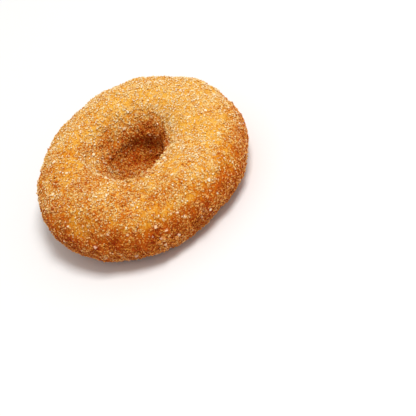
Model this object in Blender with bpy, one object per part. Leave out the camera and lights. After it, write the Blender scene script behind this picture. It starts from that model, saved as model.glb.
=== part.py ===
"""A ring doughnut of fried cake dough, rolled in cinnamon sugar, lying flat on its underside.

Units are metres and +Z is up. The origin is on the surface that the doughnut lies on, under the middle of its
outline. It is one solid: the crust, with the coarse grains of its sugar fused on. Two angles place a point of the
crust: "around" runs round the ring from +X, and "section" runs round the dough, from the outer side (0 degrees)
over the crown (90) to the wall of the hole (180) and back along the underside (270).
"""

import math
import random

import bmesh
import bpy
from mathutils import Matrix, Vector, noise

MM = 0.001
NAME = "doughnut"

# The ring. A lobe is a wave round the ring: how many, how far it swings, and the angle of its first peak.
OUTER_RADIUS = 42.6 * MM
OUTER_LOBES = ((2, 1.6 * MM, 35), (3, 0.3 * MM, -18), (4, 0.3 * MM, -20))
HOLE_RADIUS = 11.9 * MM
HOLE_LOBES = ((1, 1.3 * MM, 115), (2, 1.0 * MM, 90), (3, 0.4 * MM, 40))

# The section of the dough: a rounded oval, cut flat where it rests. An ellipse has a fullness of 2, and a fuller oval
# has a higher one. The foot is the lower quarter at the hole, which is fuller than the rest.
MIDDLE_HEIGHT = 13.6 * MM
HALF_HEIGHT = 14.3 * MM
CROWN_LOBES = ((1, 0.5 * MM, 200), (2, 0.5 * MM, 75), (5, 0.25 * MM, 10))
FULLNESS = 2.08
FOOT_FULLNESS = 2.6

# The wall of the hole: its wide funnel, a crease where the dough opened as it fried, a groove below that, and the
# lower lip that swelled inwards. Each has its middle and spread round the section, its size, and its lobes.
FUNNEL = (146, 30, 2.1 * MM, ((1, 0.9 * MM, 165), (2, 0.8 * MM, -5)))
CREASE = (186, 13, 0.7 * MM, ((1, 1.1 * MM, 60),))
GROOVE = (206, 7, 0.2 * MM, ((1, 0.8 * MM, 60),))
LIP = (230, 24, -6.8 * MM, ((1, -2.6 * MM, 78),))

# The uneven crust: broad dents, lumps, and the crumbs and caked sugar on them. Each is a pitch and a depth.
DENTS = (15.0 * MM, 1.0 * MM)
LUMPS = (7.5 * MM, 0.55 * MM)
CRUMBS = (4.0 * MM, 0.5 * MM)
NOISE_START = Vector((7, 3, 5))

# Coarse sugar that shows from a step away: grains all over, and two patches where more of it stuck. The reach is how
# far a corner gets from the middle, in parts of the size, and a gap is what is clear between two grains. A patch has
# its span round the ring, its span round the section, and its number of grains.
GRAIN_SIZE = (1.0 * MM, 1.8 * MM)
GRAIN_SHAPE = (1.0, 0.82, 0.66)
GRAIN_UNEVEN = (0.8, 1.15)
GRAIN_REACH = 0.84
GRAIN_PROUD = -0.04
GRAIN_GAP = 5.0 * MM
GRAINS_ALL_OVER = 84
PATCH_GAP = 0.25 * MM
PATCHES = (
    ((-100, -56), (-14, 30), 16),
    ((-96, -40), (116, 142), 14),
)
GRAINS_CLEAR_OF_TABLE = 2.0 * MM
SEED = 11

# The mesh: segments round the ring and round the dough, which are set closer at the hole and over the crown.
RING_SEGMENTS = 90
SECTION_SEGMENTS = 46
CLOSER_AT_HOLE = 0.2
CLOSER_OVER_CROWN = 0.12

CRUST_COLOUR = (0.62, 0.27, 0.065, 1.0)
CRUST_ROUGHNESS = 0.75


def clear_scene():
    for obj in list(bpy.data.objects):
        bpy.data.objects.remove(obj)


def new_collection(name):
    collection = bpy.data.collections.new(name)
    bpy.context.scene.collection.children.link(collection)
    return collection


def move_to(obj, collection):
    for old in list(obj.users_collection):
        old.objects.unlink(obj)
    collection.objects.link(obj)


def crust_material():
    material = bpy.data.materials.new("sugared_crust")
    material.use_nodes = True
    shader = material.node_tree.nodes["Principled BSDF"]
    shader.inputs["Base Color"].default_value = CRUST_COLOUR
    shader.inputs["Roughness"].default_value = CRUST_ROUGHNESS
    shader.inputs["Metallic"].default_value = 0.0
    return material


def waves(around, lobes):
    """The sum of the lobes at this angle round the ring."""
    return sum(swing * math.cos(count * (around - math.radians(peak))) for count, swing, peak in lobes)


def bulge(around, section, shape):
    """How far a feature of the hole's wall moves it outwards at two angles."""
    middle, spread, size, lobes = shape
    off = math.remainder(section - math.radians(middle), math.tau)
    return (size + waves(around, lobes)) * math.exp(-((off / math.radians(spread)) ** 2))


def oval(section):
    """How far out and up a point of the section is, each from -1 to 1."""
    out, up = math.cos(section), math.sin(section)
    fullness = FOOT_FULLNESS if out < 0 and up < 0 else FULLNESS
    return [math.copysign(abs(value) ** (2 / fullness), value) for value in (out, up)]


def relief(point):
    """The height of the dents, lumps and crumbs at a point of the smooth crust."""
    return sum(noise.noise(point / pitch + NOISE_START) * depth for pitch, depth in (DENTS, LUMPS, CRUMBS))


def smooth_crust(around, section):
    """The crust's point at two angles, before the relief and the flat underside."""
    outer = OUTER_RADIUS + waves(around, OUTER_LOBES)
    hole = HOLE_RADIUS + waves(around, HOLE_LOBES)
    out, up = oval(section)
    radius = (outer + hole) / 2 + (outer - hole) / 2 * out
    radius += sum(bulge(around, section, feature) for feature in (FUNNEL, CREASE, GROOVE, LIP))
    rise = HALF_HEIGHT + (waves(around, CROWN_LOBES) if up > 0 else 0)
    height = MIDDLE_HEIGHT + rise * up
    return Vector((radius * math.cos(around), radius * math.sin(around), height))


def crust_normal(around, section):
    """The direction out of the smooth crust."""
    step = math.radians(1.5)
    along = smooth_crust(around + step, section) - smooth_crust(around - step, section)
    over = smooth_crust(around, section + step) - smooth_crust(around, section - step)
    return along.cross(over).normalized()


def crust_point(around, section):
    """The crust's point at two angles, with its relief, cut flat where it rests."""
    smooth = smooth_crust(around, section)
    point = smooth + crust_normal(around, section) * relief(smooth)
    point.z = max(point.z, 0.0)
    return point


def split_into_triangles(data):
    mesh = bmesh.new()
    mesh.from_mesh(data)
    bmesh.ops.triangulate(mesh, faces=mesh.faces)
    mesh.to_mesh(data)
    mesh.free()


def make_crust(collection):
    """The ring of dough: a torus whose points are moved onto the crust."""
    middle = (OUTER_RADIUS + HOLE_RADIUS) / 2
    bpy.ops.mesh.primitive_torus_add(
        major_radius=middle,
        minor_radius=HALF_HEIGHT,
        major_segments=RING_SEGMENTS,
        minor_segments=SECTION_SEGMENTS,
    )
    crust = bpy.context.active_object
    crust.name = NAME
    crust.data.name = NAME
    for vertex in crust.data.vertices:
        x, y, z = vertex.co
        around = math.atan2(y, x)
        even = math.atan2(z, math.hypot(x, y) - middle)
        section = even + CLOSER_AT_HOLE * math.sin(even) + CLOSER_OVER_CROWN * math.cos(even)
        vertex.co = crust_point(around, section)
    split_into_triangles(crust.data)
    crust.data.shade_smooth()
    crust.data.materials.append(crust_material())
    move_to(crust, collection)
    return crust


def crust_area(around, section):
    """How much crust a small step of both angles covers there."""
    step = math.radians(1.5)
    along = smooth_crust(around + step, section) - smooth_crust(around - step, section)
    over = smooth_crust(around, section + step) - smooth_crust(around, section - step)
    return along.cross(over).length


def grain_places(draw):
    """Where the coarse grains sit and their sizes, evenly over the crust and closer in the patches."""
    placed = []

    def try_place(around, section, gap):
        point = crust_point(around, section)
        size = draw.triangular(*GRAIN_SIZE, GRAIN_SIZE[0])
        if point.z < GRAINS_CLEAR_OF_TABLE:
            return
        if all((point - at).length > gap + GRAIN_REACH * (size + other) for at, other, _, _ in placed):
            placed.append((point, size, around, section))

    for around_span, section_span, count in PATCHES:
        full = len(placed) + count
        while len(placed) < full:
            around = math.radians(draw.uniform(*around_span))
            section = math.radians(draw.uniform(*section_span))
            try_place(around, section, PATCH_GAP)
    full = len(placed) + GRAINS_ALL_OVER
    widest = crust_area(math.radians(OUTER_LOBES[0][2]), 0.0)
    while len(placed) < full:
        around, section = draw.uniform(0, math.tau), draw.uniform(0, math.tau)
        if draw.random() * widest < crust_area(around, section):
            try_place(around, section, GRAIN_GAP)
    return [(around, section, size) for _, size, around, section in placed]


def make_grain(around, section, size, draw, collection):
    """One coarse grain of sugar: a small uneven block at a random turn, sunk into the crust."""
    mesh = bmesh.new()
    bmesh.ops.create_cube(mesh, size=1.0)
    for vertex in mesh.verts:
        for axis in range(3):
            vertex.co[axis] *= size * GRAIN_SHAPE[axis] * draw.uniform(*GRAIN_UNEVEN)
    turn = Matrix.Rotation(draw.uniform(0, math.tau), 4, "X") @ Matrix.Rotation(draw.uniform(0, math.tau), 4, "Z")
    centre = crust_point(around, section) + crust_normal(around, section) * size * GRAIN_PROUD
    bmesh.ops.transform(mesh, matrix=Matrix.Translation(centre) @ turn, verts=mesh.verts)
    bmesh.ops.triangulate(mesh, faces=mesh.faces)
    data = bpy.data.meshes.new("grain")
    mesh.to_mesh(data)
    mesh.free()
    grain = bpy.data.objects.new("grain", data)
    collection.objects.link(grain)


def fuse(body, collection):
    """Joins everything in the collection to the body, and removes the collection."""
    join = body.modifiers.new("fuse", "BOOLEAN")
    join.operation = "UNION"
    join.operand_type = "COLLECTION"
    join.collection = collection
    join.solver = "EXACT"
    bpy.context.view_layer.objects.active = body
    bpy.ops.object.modifier_apply(modifier=join.name)
    for obj in list(collection.objects):
        bpy.data.objects.remove(obj)
    bpy.data.collections.remove(collection)


def stand_on_origin(obj):
    """Moves the mesh so that the middle of its outline is over the origin."""
    xs = [vertex.co.x for vertex in obj.data.vertices]
    ys = [vertex.co.y for vertex in obj.data.vertices]
    middle = Vector(((min(xs) + max(xs)) / 2, (min(ys) + max(ys)) / 2, 0))
    obj.data.transform(Matrix.Translation(-middle))


def main():
    clear_scene()
    parts = new_collection("doughnut_parts")
    sugar = new_collection("coarse_sugar")
    crust = make_crust(parts)
    draw = random.Random(SEED)
    for around, section, size in grain_places(draw):
        make_grain(around, section, size, draw, sugar)
    fuse(crust, sugar)
    stand_on_origin(crust)


main()
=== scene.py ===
"""A sugared ring doughnut, dressed round its solid: the fried crust, and the sugar and cinnamon on it.

Units are metres and +Z is up. The crust repeats the values and the shape functions of the solid, with a finer
mesh and finer relief, so the two have the same form. Two angles place a point of the crust: "around" runs
round the ring from +X, and "section" runs round the dough, from the outer side (0 degrees) over the crown (90)
to the wall of the hole (180) and back along the underside (270).
"""

import math
import random

import bpy
import numpy as np
from mathutils import Matrix, Vector, noise


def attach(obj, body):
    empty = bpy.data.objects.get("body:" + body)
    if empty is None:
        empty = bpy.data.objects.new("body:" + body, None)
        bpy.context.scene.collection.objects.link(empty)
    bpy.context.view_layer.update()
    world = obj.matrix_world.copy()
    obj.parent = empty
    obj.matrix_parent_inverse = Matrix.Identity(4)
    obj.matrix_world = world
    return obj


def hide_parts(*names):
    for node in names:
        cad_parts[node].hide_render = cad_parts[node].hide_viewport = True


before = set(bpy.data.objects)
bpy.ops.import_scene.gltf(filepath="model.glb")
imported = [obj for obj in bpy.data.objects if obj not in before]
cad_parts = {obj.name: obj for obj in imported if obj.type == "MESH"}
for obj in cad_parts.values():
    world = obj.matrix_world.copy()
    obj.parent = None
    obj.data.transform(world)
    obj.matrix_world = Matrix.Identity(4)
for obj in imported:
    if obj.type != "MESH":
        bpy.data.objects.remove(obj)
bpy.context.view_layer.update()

MM = 0.001

# The form of the solid. A lobe is a wave round the ring: how many there are, how far it swings, and where it
# first peaks. A band in the hole's wall has its middle and spread round the section, its size, and its lobes.
OUTER_RADIUS = 42.6 * MM
OUTER_LOBES = ((2, 1.6 * MM, 35), (3, 0.3 * MM, -18), (4, 0.3 * MM, -20))
HOLE_RADIUS = 11.9 * MM
HOLE_LOBES = ((1, 1.3 * MM, 115), (2, 1.0 * MM, 90), (3, 0.4 * MM, 40))
MIDDLE_HEIGHT = 13.6 * MM
HALF_HEIGHT = 14.3 * MM
CROWN_LOBES = ((1, 0.5 * MM, 200), (2, 0.5 * MM, 75), (5, 0.25 * MM, 10))
FULLNESS = 2.08
FOOT_FULLNESS = 2.6
FUNNEL = (146, 30, 2.1 * MM, ((1, 0.9 * MM, 165), (2, 0.8 * MM, -5)))
CREASE = (186, 13, 0.7 * MM, ((1, 1.1 * MM, 60),))
GROOVE = (206, 7, 0.2 * MM, ((1, 0.8 * MM, 60),))
LIP = (230, 24, -6.8 * MM, ((1, -2.6 * MM, 78),))

# The solid's uneven crust, as layers of noise. Each has a pitch and a depth.
DENTS = (15.0 * MM, 1.0 * MM)
LUMPS = (7.5 * MM, 0.55 * MM)
CRUMBS = (4.0 * MM, 0.5 * MM)
NOISE_START = Vector((7, 3, 5))

# How far the solid was moved to put its outline's middle over the origin.
MOVED = np.array((-0.106, 0.573, 0.0)) * MM

# The solid's coarse grains, which are placed by the same draws. A patch of them has its span round the ring,
# its span round the section, and its number of grains.
GRAIN_SIZE = (1.0 * MM, 1.8 * MM)
GRAIN_SHAPE = (1.0, 0.82, 0.66)
GRAIN_REACH = 0.84
GRAIN_PROUD = -0.04
GRAIN_GAP = 5.0 * MM
GRAINS_ALL_OVER = 84
PATCH_GAP = 0.25 * MM
PATCHES = (
    ((-100, -56), (-14, 30), 16),
    ((-96, -40), (116, 142), 14),
)
GRAINS_CLEAR_OF_TABLE = 2.0 * MM
SEED = 11

# The finer relief of the crust, laid out as the solid's is: caked sugar and single crystals all over, and rough
# crumbs in the hole. Then the segments of its mesh.
FINE_RELIEF = ((1.5 * MM, 0.26 * MM), (0.75 * MM, 0.12 * MM))
HOLE_RELIEF = ((3.2 * MM, 0.5 * MM), (1.8 * MM, 0.4 * MM))
RING_SEGMENTS = 400
SECTION_SEGMENTS = 190

# Where the section turns into the hole, from 0 on the crown to 1 on the hole's wall. The crust gets rougher,
# darker with painted shade, and more evenly sugared from the first value to the second.
ROUGH_IN_HOLE = (0.45, 0.9)
SHADE_IN_HOLE = (0.5, 0.95)
SUGARED_IN_HOLE = (0.3, 0.8)

# How brown the crust is, from 0 to 1: on the crown, on the sides, and the heights between which one turns
# into the other; both are browner towards the near side. Bands laid out as the hole's are add to it or take
# from it, and so do patches of noise. In the hole the bands are painted shade, darkest on the hole's far side,
# with a faint painted highlight on its lip.
CROWN_BROWN = 0.17
CROWN_BROWN_LOBES = ((1, 0.20, -140),)
SIDES_BROWN = 0.68
SIDES_BROWN_LOBES = ((1, 0.17, -105),)
SIDES_TO_CROWN = (14 * MM, 26.5 * MM)
# Painted shade in the hole: darker on its far wall, paler on its near wall.
HOLE_SHADE_LOBES = ((1, 0.20, 60),)
# Painted shade in the funnel on the hole's far side, paler round the rest.
FUNNEL_SHADE = (153, 17, -0.03, ((1, 0.17, 60), (2, 0.09, 60)))
# Painted shade in the crease on the hole's far side.
CREASE_SHADE = (190, 8, -0.02, ((1, 0.08, 60), (2, 0.08, 60)))
# Painted shadow in the groove over the lip, on the hole's far side.
GROOVE_SHADOW = (206, 5, 0.05, ((1, 0.36, 60),))
# A faint painted highlight on the lip, on the hole's far side.
LIP_HIGHLIGHT = (216, 9, 0.0, ((1, -0.05, 100), (2, -0.05, 100)))
BROWN_PATCHES = ((12 * MM, 0.16), (4.5 * MM, 0.32))
BROWN_START = Vector((7, 16, 46))

# Where less sugar stuck, from 0 to 1: broad patches of noise and the gaps between clumps, the noise's values
# between which it turns bare, a band on the far crown, and the share of all this that the hole takes off.
BARE_PATCHES = ((12 * MM, 1.0), (2.0 * MM, 1.0))
BARE_START = Vector((62, 23, 15))
BARE_EDGE = (-0.1, 0.5)
BARE_CROWN = (110, 24, 0.12, ((1, 0.38, 70),))
LESS_BARE_IN_HOLE = 0.75

# No scattered crystal lies where the smooth crust is lower than this.
SUGAR_CLEAR_OF_TABLE = 0.4 * MM

# How far above the table the crystals' points are kept. Each crystal of a piece has a height of its own between
# these two, so that no two of them have a face in one plane.
ABOVE_TABLE = (0.03 * MM, 0.09 * MM)

# How far a crystal's corners stray from its shape, and where between the least and greatest size most are.
CRYSTAL_UNEVEN = (0.75, 1.15)
COMMON_SIZE = 0.3

# What scattering takes for the greatest area of a small step, in parts of its area at the widest side.
AREA_MARGIN = 1.15

# Camera: the photograph's angle, from the near side and rolled.
CAMERA_DISTANCE = 0.75
CAMERA_AZIMUTH = -90
CAMERA_ELEVATION = 43
CAMERA_ROLL = -25.3
SENSOR = 36.0
FRAME_WIDTH = 0.1638
FRAME_MIDDLE = (0.02575, -0.0163)

# Light: a large soft box nearly overhead, a pale studio round it, and a pale floor.
KEY_AZIMUTH = -36
KEY_ELEVATION = 72
KEY_DISTANCE = 1.2
KEY_SIZE = 0.4
KEY_POWER = 10.7
STUDIO_COLOUR = (1.0, 0.98, 0.95, 1.0)
STUDIO_STRENGTH = 0.56
FLOOR_COLOUR = (0.86, 0.86, 0.86, 1.0)
FLOOR_ROUGHNESS = 0.9
FLOOR_HALF = 3.0


def smoothstep(low, high, value):
    """0 below low, 1 above high, and smooth between."""
    t = np.clip((value - low) / (high - low), 0.0, 1.0)
    return t * t * (3 - 2 * t)


def in_hole(section, span):
    """From 0 to 1, how far the section has turned into the hole over that span."""
    return smoothstep(*span, -np.cos(section))


def waves(around, lobes):
    """The sum of the lobes at this angle round the ring."""
    return sum(swing * np.cos(count * (around - math.radians(peak))) for count, swing, peak in lobes)


def bulge(around, section, band):
    """The size of a band at two angles, such as how far it moves the hole's wall outwards."""
    middle, spread, size, lobes = band
    off = np.mod(section - math.radians(middle) + math.pi, math.tau) - math.pi
    return (size + waves(around, lobes)) * np.exp(-((off / math.radians(spread)) ** 2))


def oval(section):
    """How far out and up a point of the section is, each from -1 to 1."""
    out, up = np.cos(section), np.sin(section)
    fullness = np.where((out < 0) & (up < 0), FOOT_FULLNESS, FULLNESS)
    return [np.copysign(np.abs(value) ** (2 / fullness), value) for value in (out, up)]


def smooth_crust(around, section):
    """The crust's points at two angles, before the relief and the flat underside."""
    outer = OUTER_RADIUS + waves(around, OUTER_LOBES)
    hole = HOLE_RADIUS + waves(around, HOLE_LOBES)
    out, up = oval(section)
    radius = (outer + hole) / 2 + (outer - hole) / 2 * out
    for band in (FUNNEL, CREASE, GROOVE, LIP):
        radius = radius + bulge(around, section, band)
    rise = HALF_HEIGHT + np.where(up > 0, waves(around, CROWN_LOBES), 0.0)
    height = MIDDLE_HEIGHT + rise * up
    return np.stack((radius * np.cos(around), radius * np.sin(around), height), axis=-1)


def crust_steps(around, section):
    """The cross product of two small steps over the crust: its direction out, as long as the area it covers."""
    step = math.radians(1.5)
    along = smooth_crust(around + step, section) - smooth_crust(around - step, section)
    over = smooth_crust(around, section + step) - smooth_crust(around, section - step)
    return np.cross(along, over)


def crust_normal(around, section):
    """The direction out of the smooth crust."""
    steps = crust_steps(around, section)
    return steps / np.linalg.norm(steps, axis=-1, keepdims=True)


def crust_area(around, section):
    """How much crust a small step of both angles covers there."""
    return np.linalg.norm(crust_steps(around, section), axis=-1)


def layered_noise(points, layers, start=NOISE_START):
    """The sum of smooth noises at each point, one for each pitch, each times its depth."""
    return sum(
        depth * np.array([noise.noise(Vector(point) / pitch + start) for point in points])
        for pitch, depth in layers
    )


def raised(around, section, height):
    """The smooth crust's points at two angles, moved outwards that far and cut flat where they rest."""
    point = smooth_crust(around, section) + crust_normal(around, section) * height[..., None]
    point[..., 2] = np.maximum(point[..., 2], 0.0)
    return point


def crust_relief(around, section, layers=(DENTS, LUMPS, CRUMBS), start=NOISE_START):
    """The height of the layers of noise at two angles of the crust."""
    smooth = smooth_crust(around, section)
    return layered_noise(smooth.reshape(-1, 3), layers, start).reshape(smooth.shape[:-1])


def crust_point(around, section):
    """The solid's points at two angles."""
    return raised(around, section, crust_relief(around, section))


def fine_point(around, section):
    """The dressed crust's points at two angles: the solid's, with the finer relief."""
    height = crust_relief(around, section) + crust_relief(around, section, FINE_RELIEF)
    rough = in_hole(section, ROUGH_IN_HOLE) * crust_relief(around, section, HOLE_RELIEF)
    return raised(around, section, height + rough)


def grain_places():
    """Where the solid's coarse grains sit and their sizes."""
    draw = random.Random(SEED)
    placed = []

    def try_place(around, section, gap):
        point = crust_point(np.array(around), np.array(section))
        size = draw.triangular(*GRAIN_SIZE, GRAIN_SIZE[0])
        if point[2] < GRAINS_CLEAR_OF_TABLE:
            return
        if all(np.linalg.norm(point - at) > gap + GRAIN_REACH * (size + other) for at, other, _, _ in placed):
            placed.append((point, size, around, section))

    for around_span, section_span, count in PATCHES:
        full = len(placed) + count
        while len(placed) < full:
            around = math.radians(draw.uniform(*around_span))
            section = math.radians(draw.uniform(*section_span))
            try_place(around, section, PATCH_GAP)
    full = len(placed) + GRAINS_ALL_OVER
    widest = crust_area(math.radians(OUTER_LOBES[0][2]), 0.0)
    while len(placed) < full:
        around, section = draw.uniform(0, math.tau), draw.uniform(0, math.tau)
        if draw.random() * widest < crust_area(around, section):
            try_place(around, section, GRAIN_GAP)
    return [(around, section, size) for _, size, around, section in placed]


def browning_and_shade(around, section, points):
    """How brown each point is, from 0 to 1: pale on the crown and brown down the sides.

    In the hole it holds painted shade, and a faint painted highlight on the lip.
    """
    low = 1 - smoothstep(*SIDES_TO_CROWN, points[..., 2])
    crown = CROWN_BROWN + waves(around, CROWN_BROWN_LOBES)
    sides = SIDES_BROWN + waves(around, SIDES_BROWN_LOBES)
    brown_and_shade = crown + (sides - crown) * low
    # Painted shade in the hole, its funnel, crease and groove, and a faint painted highlight on its lip.
    brown_and_shade = brown_and_shade + waves(around, HOLE_SHADE_LOBES) * in_hole(section, SHADE_IN_HOLE)
    for band in (FUNNEL_SHADE, CREASE_SHADE, GROOVE_SHADOW, LIP_HIGHLIGHT):
        brown_and_shade = brown_and_shade + bulge(around, section, band)
    brown_and_shade = brown_and_shade + layered_noise(points.reshape(-1, 3), BROWN_PATCHES, BROWN_START).reshape(around.shape)
    return np.clip(brown_and_shade, 0.0, 1.0)


def bareness(around, section):
    """From 0 to 1, how much sugar is missing at two angles: golden patches, but few of them in the hole."""
    bare = smoothstep(*BARE_EDGE, crust_relief(around, section, BARE_PATCHES, BARE_START))
    bare = np.clip(bare + np.maximum(bulge(around, section, BARE_CROWN), 0.0), 0.0, 1.0)
    return bare * (1 - LESS_BARE_IN_HOLE * in_hole(section, SUGARED_IN_HOLE))


def new_object(name, points, faces):
    """An object in the scene from its points and faces."""
    mesh = bpy.data.meshes.new(name)
    mesh.from_pydata(points, [], faces)
    mesh.update()
    made = bpy.data.objects.new(name, mesh)
    bpy.context.scene.collection.objects.link(made)
    return made


def new_piece(name, points, faces):
    """A piece of the doughnut, which rides on the body."""
    piece = new_object(name, points.tolist(), faces.tolist())
    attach(piece, "root")
    return piece


def set_attribute(piece, name, values):
    """Stores one number for each point of the piece, for its material."""
    attribute = piece.data.attributes.new(name, "FLOAT", "POINT")
    attribute.data.foreach_set("value", np.ascontiguousarray(values, dtype=np.float32))


def make_crust():
    """The fried crust: a ring of quads on the crust's points, with the fine relief."""
    ring = np.arange(RING_SEGMENTS) * math.tau / RING_SEGMENTS
    turn = np.arange(SECTION_SEGMENTS) * math.tau / SECTION_SEGMENTS
    around, section = np.meshgrid(ring, turn, indexing="ij")
    points = fine_point(around, section)
    index = np.arange(RING_SEGMENTS * SECTION_SEGMENTS).reshape(RING_SEGMENTS, SECTION_SEGMENTS)
    ahead, over = np.roll(index, -1, axis=0), np.roll(index, -1, axis=1)
    both = np.roll(ahead, -1, axis=1)
    faces = np.stack((index, ahead, both, over), axis=-1).reshape(-1, 4)
    crust = new_piece("crust", points.reshape(-1, 3) + MOVED, faces)
    crust.data.shade_smooth()
    # Browning, with the hole's painted shade, for the material.
    set_attribute(crust, "browning_and_shade", browning_and_shade(around, section, points).ravel())
    set_attribute(crust, "bareness", bareness(around, section).ravel())
    crust.data.materials.append(crust_material())
    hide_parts("doughnut")


# The two forms of a crystal of size 1: its corners and its faces.
BLOCK = (
    np.array([(x, y, z) for x in (-0.5, 0.5) for y in (-0.5, 0.5) for z in (-0.5, 0.5)]),
    np.array([(0, 1, 3, 2), (4, 6, 7, 5), (0, 4, 5, 1), (2, 3, 7, 6), (0, 2, 6, 4), (1, 5, 7, 3)]),
)
SPLINTER = (
    np.array([(0.6, 0, 0), (0, 0.6, 0), (-0.6, 0, 0), (0, -0.6, 0), (0, 0, 0.6), (0, 0, -0.6)]),
    np.array([(n, (n + 1) % 4, 4) for n in range(4)] + [((n + 1) % 4, n, 5) for n in range(4)]),
)


def random_turns(count, rng):
    """Rotation matrices, evenly over all directions."""
    w, x, y, z = rng.normal(size=(4, count))
    length = np.sqrt(w * w + x * x + y * y + z * z)
    w, x, y, z = w / length, x / length, y / length, z / length
    rows = (
        (1 - 2 * (y * y + z * z), 2 * (x * y - w * z), 2 * (x * z + w * y)),
        (2 * (x * y + w * z), 1 - 2 * (x * x + z * z), 2 * (y * z - w * x)),
        (2 * (x * z - w * y), 2 * (y * z + w * x), 1 - 2 * (x * x + y * y)),
    )
    return np.stack([np.stack(row, axis=-1) for row in rows], axis=-2)


def make_crystals(name, form, around, section, sizes, shape, proud, rng):
    """Uneven little grains at the given angles of the crust, each with its own tint.

    Each also takes the crust's browning, with the painted shade in the hole.
    """
    points = fine_point(around, section)
    brown_and_shade = browning_and_shade(around, section, points)
    normals = crust_normal(around, section)
    centres = points + normals * (sizes * proud)[:, None]
    corners, sides = form
    count, each = len(sizes), len(corners)
    grains = corners * shape * rng.uniform(*CRYSTAL_UNEVEN, size=(count, each, 3)) * sizes[:, None, None]
    grains = np.einsum("nij,nkj->nki", random_turns(count, rng), grains)
    height = np.einsum("nki,ni->nk", grains, normals) / sizes[:, None]
    grains += centres[:, None, :]
    grains[..., 2] = np.maximum(grains[..., 2], np.linspace(*ABOVE_TABLE, count)[:, None])
    faces = sides + each * np.arange(count)[:, None, None]
    piece = new_piece(name, grains.reshape(-1, 3) + MOVED, faces.reshape(-1, sides.shape[1]))
    set_attribute(piece, "browning_and_shade", np.repeat(brown_and_shade, each))
    set_attribute(piece, "tint", np.repeat(rng.random(count), each))
    set_attribute(piece, "height", height.ravel())
    piece.data.materials.append(coat_material(name))


def scatter(count, rng, bare_share):
    """Angles spread evenly over the crust, apart from that share of the barer patches."""
    arounds, sections = [], []
    found = 0
    most = float(crust_area(math.radians(OUTER_LOBES[0][2]), 0.0)) * AREA_MARGIN
    while found < count:
        around, section, keep = rng.random((3, 2 * count))
        around, section = around * math.tau, section * math.tau
        kept = keep * most < crust_area(around, section)
        around, section = around[kept], section[kept]
        cover = 1 - bare_share * bareness(around, section)
        clear = smooth_crust(around, section)[:, 2] > SUGAR_CLEAR_OF_TABLE
        kept = (rng.random(len(around)) < cover) & clear
        arounds.append(around[kept])
        sections.append(section[kept])
        found += int(kept.sum())
    return np.concatenate(arounds)[:count], np.concatenate(sections)[:count]


class Nodes:
    """Adds shader nodes to a material and joins them."""

    def __init__(self, name):
        self.material = bpy.data.materials.new(name)
        self.material.use_nodes = True
        self.tree = self.material.node_tree
        self.shader = self.tree.nodes["Principled BSDF"]

    def add(self, kind, inputs=None, **settings):
        node = self.tree.nodes.new(kind)
        for key, value in settings.items():
            setattr(node, key, value)
        for key, value in (inputs or {}).items():
            self.set(node.inputs[key], value)
        return node

    def set(self, socket, value):
        if isinstance(value, bpy.types.NodeSocket):
            self.tree.links.new(value, socket)
        else:
            socket.default_value = value

    def math(self, operation, *values, **settings):
        node = self.add("ShaderNodeMath", operation=operation, **settings)
        for socket, value in zip(node.inputs, values):
            self.set(socket, value)
        return node.outputs["Value"]

    def noise(self, scale, detail=2.0):
        place = self.add("ShaderNodeTexCoord").outputs["Object"]
        inputs = {"Vector": place, "Scale": scale, "Detail": detail}
        return self.add("ShaderNodeTexNoise", inputs).outputs["Fac"]

    def cells(self, scale):
        """A mosaic of cells: a number for each, and how far a point is from its cell's middle."""
        place = self.add("ShaderNodeTexCoord").outputs["Object"]
        node = self.add("ShaderNodeTexVoronoi", {"Vector": place, "Scale": scale})
        parts = self.add("ShaderNodeSeparateColor", {"Color": node.outputs["Color"]})
        return parts.outputs["Red"], node.outputs["Distance"]

    def attribute(self, name):
        return self.add("ShaderNodeAttribute", attribute_name=name).outputs["Fac"]

    def ramp(self, value, stops):
        node = self.add("ShaderNodeValToRGB", {"Fac": value})
        elements = node.color_ramp.elements
        while len(elements) < len(stops):
            elements.new(0.5)
        for element, (place, colour) in zip(elements, stops):
            element.position = place
            element.color = (*colour, 1.0)
        return node.outputs["Color"]

    def mix(self, factor, first, second):
        node = self.add("ShaderNodeMix", data_type="RGBA")
        self.set(node.inputs["Factor"], factor)
        self.set(node.inputs["A"], first)
        self.set(node.inputs["B"], second)
        return node.outputs["Result"]

    def surface(self, colour, grain, roughness, shine):
        """Sets the shader's colour, its least roughness and what a noise adds to it, and its reflection."""
        least, added = roughness
        self.set(self.shader.inputs["Base Color"], colour)
        self.set(self.shader.inputs["Roughness"], self.math("MULTIPLY_ADD", grain, added, least))
        self.shader.inputs["Specular IOR Level"].default_value = shine

    def bump(self, height, strength, distance):
        node = self.add("ShaderNodeBump", {"Height": height, "Strength": strength, "Distance": distance})
        self.set(self.shader.inputs["Normal"], node.outputs["Normal"])


# Colours from the palest crust to the brownest, of the dough itself and of the sugar that lies on it. The
# browner colours also serve for the painted shade in the hole.
CRUST_COLOURS = (
    (0.00, (0.77, 0.39, 0.050)),
    (0.30, (0.67, 0.24, 0.012)),
    (0.50, (0.57, 0.135, 0.004)),
    (0.75, (0.50, 0.085, 0.003)),
    (1.00, (0.34, 0.036, 0.002)),
)
SUGAR_COLOURS = (
    (0.00, (0.87, 0.66, 0.28)),
    (0.30, (0.82, 0.54, 0.16)),
    (0.50, (0.79, 0.42, 0.09)),
    (0.75, (0.71, 0.29, 0.042)),
    (1.00, (0.54, 0.165, 0.013)),
)
WHITE_SUGAR = (0.95, 0.87, 0.69, 1.0)
CINNAMON_COLOURS = (
    (0.00, (0.20, 0.035, 0.004)),
    (0.60, (0.38, 0.090, 0.012)),
    (1.00, (0.54, 0.17, 0.025)),
)

# How fine the materials' noises are, from the broadest.
PATCH_SCALE = 110
MOTTLE_SCALE = 520
ROUGHNESS_SCALE = 900
POWDER_SCALE = 1500
CELL_SCALE = 1900
SPECK_SCALE = 2200
BUMP_SCALE = 4000

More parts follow.
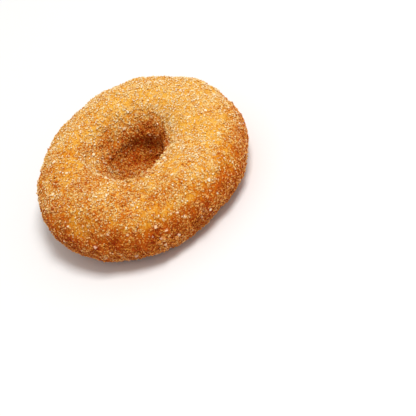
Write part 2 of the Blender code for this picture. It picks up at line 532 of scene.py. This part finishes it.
# The crust: how far its three noises swing the browning, how much paler it is where it is bare, the least
# number of a sugared grain and how much that rises where it is bare, and how sharply a grain turns to sugar.
PATCH_SWING = 0.2
MOTTLE_SWING = 0.55
POWDER_SWING = 0.45
BARE_PALER = 0.12
SUGARED_FROM = 0.66
SUGARED_FROM_RISE = 0.3
CRUST_SHARPNESS = 4.0
CRUST_ROUGHNESS = (0.5, 0.3)
CRUST_BUMP = (0.3, 0.3 * MM)

# The crystals: how far a noise and their tint swing the browning, how far a noise swings their tint, and how
# sharply they turn to sugar. A crystal has the crust's colour where it is sunk, and its own colour higher up:
# its lower sides are partly the crust seen through the clear sugar and partly painted shade, so only its top is
# pale.
BROWN_SWING = 0.4
TINT_PALER = 0.3
TINT_SWING = 0.3
CRYSTAL_SHARPNESS = 3.0
OWN_COLOUR_START = 0.25
OWN_COLOUR_RISE = 2.6
CRYSTAL_ROUGHNESS_ADDED = 0.3
CRYSTAL_BUMP = (0.3, 0.1 * MM)

CINNAMON_TINT_SWING = 0.4
CINNAMON_ROUGHNESS = (0.75, 0.2)

# How strongly the crust and the cinnamon reflect, which is hardly at all.
MATT = 0.04

# How each kind of sugar looks: the share of it as orange as the crust, how white its least and its most white
# crystals are, how much that fades on brown crust and in the painted shade of the hole, its least roughness, and
# how strongly it reflects.
SUGAR_LOOKS = {
    "fine_sugar": (0.6, (0.0, 0.05), 1.0, 0.35, 0.05),
    "golden_sugar": (0.5, (0.0, 0.2), 1.0, 0.3, 0.06),
    "pale_sugar": (0.0, (0.05, 0.5), 1.5, 0.2, 0.1),
    "white_sugar": (0.0, (0.5, 1.0), 1.15, 0.15, 0.3),
    "coarse_sugar": (0.0, (0.5, 1.0), 0.5, 0.15, 0.3),
    "caked_sugar": (0.1, (0.0, 0.45), 1.0, 0.2, 0.1),
}


def swing(nodes, value, amount):
    """That much of a noise, either side of nothing."""
    return nodes.math("MULTIPLY", nodes.math("SUBTRACT", value, 0.5), amount)


def coat_colour(nodes, brown_and_shade, grain, bare, sharpness):
    """The dough's colour where a grain's number is under the bare share, and the sugar's colour above it."""
    above = nodes.math("SUBTRACT", grain, bare)
    sugared = nodes.math("MULTIPLY_ADD", above, sharpness, 0.5, use_clamp=True)
    return nodes.mix(sugared, nodes.ramp(brown_and_shade, CRUST_COLOURS), nodes.ramp(brown_and_shade, SUGAR_COLOURS))


def crust_material():
    """Fried dough caked with fine cinnamon sugar: a mosaic of grains, mottled at three larger scales."""
    nodes = Nodes("sugared_crust")
    patches = nodes.noise(PATCH_SCALE, 3.0)
    mottle = nodes.noise(MOTTLE_SCALE, 3.0)
    powder = nodes.noise(POWDER_SCALE)
    bare = nodes.attribute("bareness")
    # The browning attribute carries the hole's painted shade.
    brown_and_shade = nodes.math("MULTIPLY_ADD", bare, -BARE_PALER, nodes.attribute("browning_and_shade"))
    for grain, amount in ((patches, PATCH_SWING), (mottle, MOTTLE_SWING), (powder, POWDER_SWING)):
        brown_and_shade = nodes.math("ADD", brown_and_shade, swing(nodes, grain, amount))
    cell, edge = nodes.cells(CELL_SCALE)
    cell = nodes.math("ADD", cell, swing(nodes, mottle, 1.0))
    least = nodes.math("MULTIPLY_ADD", bare, SUGARED_FROM_RISE, SUGARED_FROM)
    colour = coat_colour(nodes, brown_and_shade, cell, least, CRUST_SHARPNESS)
    nodes.surface(colour, mottle, CRUST_ROUGHNESS, MATT)
    nodes.bump(nodes.math("SUBTRACT", powder, edge), *CRUST_BUMP)
    return nodes.material


def crystal_material(name, bare, white_range, fade, roughness, shine):
    """Sugar crystals: some as orange as the crust beneath them, some pale, and the palest nearly white."""
    nodes = Nodes(name)
    tint = nodes.attribute("tint")
    mottle = swing(nodes, nodes.noise(MOTTLE_SCALE), BROWN_SWING)
    brown_and_shade = nodes.math("ADD", nodes.attribute("browning_and_shade"), mottle)
    brown_and_shade = nodes.math("SUBTRACT", brown_and_shade, swing(nodes, tint, TINT_PALER))
    grain = nodes.math("ADD", tint, swing(nodes, nodes.noise(SPECK_SCALE), TINT_SWING))
    least, most = white_range
    white = nodes.math("MULTIPLY_ADD", nodes.math("POWER", tint, 2.0), most - least, least)
    # Fewer white crystals on brown crust and in the hole's painted shade.
    unfaded = nodes.math("MULTIPLY_ADD", brown_and_shade, -fade, 1.0, use_clamp=True)
    white = nodes.math("MULTIPLY", white, unfaded)
    height = nodes.attribute("height")
    # Partly painted shade: the crust's colour on each crystal's lower sides, its own colour only on top.
    own = nodes.math("MULTIPLY_ADD", height, OWN_COLOUR_RISE, OWN_COLOUR_START, use_clamp=True)
    colour = nodes.mix(white, coat_colour(nodes, brown_and_shade, grain, bare, CRYSTAL_SHARPNESS), WHITE_SUGAR)
    colour = nodes.mix(own, nodes.ramp(brown_and_shade, CRUST_COLOURS), colour)
    nodes.surface(colour, nodes.noise(ROUGHNESS_SCALE), (roughness, CRYSTAL_ROUGHNESS_ADDED), shine)
    nodes.bump(nodes.noise(BUMP_SCALE, 1.0), *CRYSTAL_BUMP)
    return nodes.material


def cinnamon_material(name):
    """Ground cinnamon: dark red-brown specks, each its own tint."""
    nodes = Nodes(name)
    speck = swing(nodes, nodes.noise(SPECK_SCALE), CINNAMON_TINT_SWING)
    tint = nodes.math("ADD", nodes.attribute("tint"), speck)
    colour = nodes.ramp(tint, CINNAMON_COLOURS)
    nodes.surface(colour, nodes.noise(ROUGHNESS_SCALE), CINNAMON_ROUGHNESS, MATT)
    nodes.bump(nodes.noise(BUMP_SCALE, 1.0), *CRYSTAL_BUMP)
    return nodes.material


def coat_material(name):
    """The material of a piece of the coat: a sugar's if it is one, and else cinnamon's."""
    if name in SUGAR_LOOKS:
        return crystal_material(name, *SUGAR_LOOKS[name])
    return cinnamon_material(name)


# The sugar and cinnamon that is scattered: the piece's name, its slot, its grains' form, how many, their least
# and greatest size in millimetres, their shape, how far their middles stand off the crust in parts of their
# size, and what share of them is missing where the crust is bare.
BLOCK_SHAPE = (1.0, 0.85, 0.72)
KINDS = (
    ("fine_sugar", "sugar", SPLINTER, 24000, (0.28, 0.50), (1.0, 0.9, 0.8), 0.10, 0.4),
    ("golden_sugar", "sugar", BLOCK, 16000, (0.36, 0.72), BLOCK_SHAPE, 0.16, 0.5),
    ("pale_sugar", "sugar", BLOCK, 7000, (0.36, 0.80), BLOCK_SHAPE, 0.38, 0.7),
    ("white_sugar", "sugar", BLOCK, 3000, (0.36, 0.75), BLOCK_SHAPE, 0.6, 0.5),
    ("cinnamon", "cinnamon", SPLINTER, 11000, (0.22, 0.5), (1.0, 0.7, 0.4), 0.1, 0.2),
    ("cinnamon_flakes", "cinnamon", SPLINTER, 300, (0.7, 1.3), (1.0, 0.6, 0.4), 0.05, 0.2),
)

# Clumps of caked sugar that stand off the crust: the span round the ring, the span round the section, and how
# many. Each is a low dome, with its height in parts of its radius. Its crystals have a least, a common and a
# greatest size in millimetres.
CLUMPS = (
    ((-76, -18), (118, 138), 17),
    ((-114, -80), (110, 130), 11),
    ((-72, -62), (0, 22), 6),
    ((-98, -88), (-28, 0), 8),
)
CLUMP_RADIUS = (0.5 * MM, 1.3 * MM)
CLUMP_HEIGHT = 1.25
CLUMP_CRYSTALS = 24
CAKED_SIZE = (0.36, 0.5, 0.85)


def clump_places(rng):
    """Where the crystals of every clump sit: their angles, and how high each lies in a low dome on the crust."""
    spans = [(rng.uniform(*around, count), rng.uniform(*section, count)) for around, section, count in CLUMPS]
    around, section = [np.radians(np.concatenate(angles)) for angles in zip(*spans)]
    radius = rng.uniform(*CLUMP_RADIUS, len(around))
    around, section, radius = [np.repeat(values, CLUMP_CRYSTALS) for values in (around, section, radius)]
    reach, turn, depth = rng.random((3, len(around)))
    reach, turn = np.sqrt(reach), turn * math.tau
    height = radius * CLUMP_HEIGHT * np.sqrt(1 - reach * reach) * depth
    ring = np.linalg.norm(smooth_crust(around, section)[:, :2], axis=-1)
    around = around + reach * radius * np.cos(turn) / ring
    section = section + reach * radius * np.sin(turn) / HALF_HEIGHT
    return around, section, height


def make_coat():
    """The scattered sugar and cinnamon, the clumps of caked sugar, and the coarse grains of the solid."""
    for seed, (name, slot, form, count, size_range, shape, proud, bare_share) in enumerate(KINDS, start=SEED):
        rng = np.random.default_rng(seed)
        around, section = scatter(count, rng, bare_share)
        small, large = size_range
        sizes = rng.triangular(small, small + (large - small) * COMMON_SIZE, large, count) * MM
        make_crystals(name, form, around, section, sizes, shape, proud, rng)
    rng = np.random.default_rng(SEED)
    around, section, height = clump_places(rng)
    sizes = rng.triangular(*CAKED_SIZE, len(around)) * MM
    make_crystals("caked_sugar", BLOCK, around, section, sizes, BLOCK_SHAPE, height / sizes, rng)
    around, section, sizes = np.array(grain_places()).T
    make_crystals("coarse_sugar", BLOCK, around, section, sizes, GRAIN_SHAPE, GRAIN_PROUD, rng)


def make_floor():
    """A plain pale floor, which isn't part of the doughnut."""
    nodes = Nodes("floor")
    nodes.shader.inputs["Base Color"].default_value = FLOOR_COLOUR
    nodes.shader.inputs["Roughness"].default_value = FLOOR_ROUGHNESS
    corners = [(x * FLOOR_HALF, y * FLOOR_HALF, 0.0) for x, y in ((-1, -1), (1, -1), (1, 1), (-1, 1))]
    floor = new_object("floor", corners, [(0, 1, 2, 3)])
    floor.data.materials.append(nodes.material)


def direction(azimuth, elevation):
    """The direction to a place at an azimuth from +X and an elevation above the floor."""
    azimuth, elevation = math.radians(azimuth), math.radians(elevation)
    flat = math.cos(elevation)
    return Vector((flat * math.cos(azimuth), flat * math.sin(azimuth), math.sin(elevation)))


def looking_back(towards):
    """The turn of a light or camera that stands in that direction and looks back along it."""
    return towards.to_track_quat("Z", "Y").to_matrix().to_4x4()


def make_light():
    """The soft box and the studio."""
    light = bpy.data.lights.new("key", "AREA")
    light.shape = "SQUARE"
    light.size = KEY_SIZE
    light.energy = KEY_POWER
    key = bpy.data.objects.new("key", light)
    towards = direction(KEY_AZIMUTH, KEY_ELEVATION)
    key.matrix_world = Matrix.Translation(towards * KEY_DISTANCE) @ looking_back(towards)
    bpy.context.scene.collection.objects.link(key)
    world = bpy.data.worlds.new("studio")
    world.use_nodes = True
    background = world.node_tree.nodes["Background"]
    background.inputs["Color"].default_value = STUDIO_COLOUR
    background.inputs["Strength"].default_value = STUDIO_STRENGTH
    bpy.context.scene.world = world


def make_camera():
    """The photograph's view: the doughnut sits left of the frame's middle and a little above it."""
    data = bpy.data.cameras.new("camera")
    data.sensor_width = SENSOR
    data.lens = SENSOR * CAMERA_DISTANCE / FRAME_WIDTH
    camera = bpy.data.objects.new("camera", data)
    back = direction(CAMERA_AZIMUTH, CAMERA_ELEVATION)
    turn = looking_back(back) @ Matrix.Rotation(math.radians(CAMERA_ROLL), 4, "Z")
    right, up = turn.to_3x3().col[0], turn.to_3x3().col[1]
    aim = Vector((0, 0, MIDDLE_HEIGHT)) + right * FRAME_MIDDLE[0] + up * FRAME_MIDDLE[1]
    camera.matrix_world = Matrix.Translation(aim + back * CAMERA_DISTANCE) @ turn
    bpy.context.scene.collection.objects.link(camera)
    bpy.context.scene.camera = camera


make_camera()
make_light()
make_floor()
make_crust()
make_coat()
bpy.context.scene.view_settings.view_transform = "Standard"
